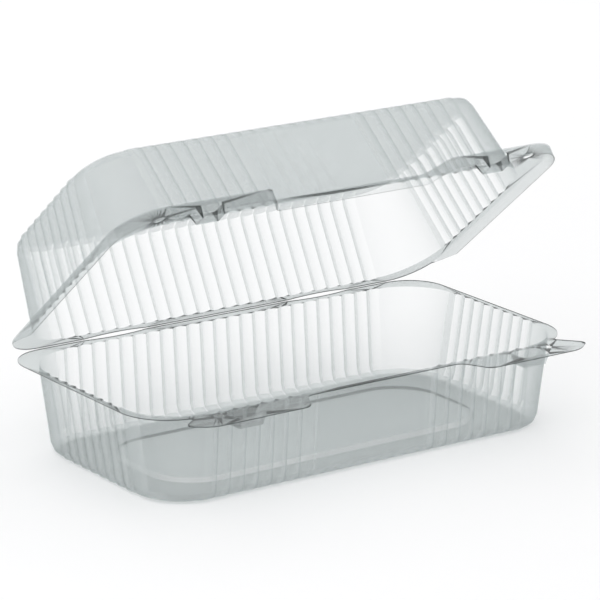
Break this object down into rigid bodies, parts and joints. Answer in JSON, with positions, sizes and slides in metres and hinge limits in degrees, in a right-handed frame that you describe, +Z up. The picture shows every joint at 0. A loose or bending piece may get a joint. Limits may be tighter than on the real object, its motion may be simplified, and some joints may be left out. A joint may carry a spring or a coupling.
{
  "type": "hinged clamshell food container",
  "caption": "Clear oblong clamshell food container with a fluted tray, a hinged fluted lid and two snap tabs at the front, standing open.",
  "frame": {"origin": "middle of the footprint on the surface it stands on, with the lid open as at rest", "axes": "+X along the hinge, -Y to the front tabs, +Z up"},
  "size_m": [0.2512, 0.1646, 0.1553],
  "materials": {
    "clear_sheet": "clear gloss thermoformed sheet"
  },
  "bodies": {
    "base": {"tray": "clear_sheet"},
    "cover": {"lid": "clear_sheet"}
  },
  "joints": [
    {"name": "lid_hinge", "type": "hinge", "parent": "base", "child": "cover", "pos_m": [0, 0.06658, 0.0441], "axis": [1, 0, 0], "range_deg": [-140.7, 39.3]}
  ]
}
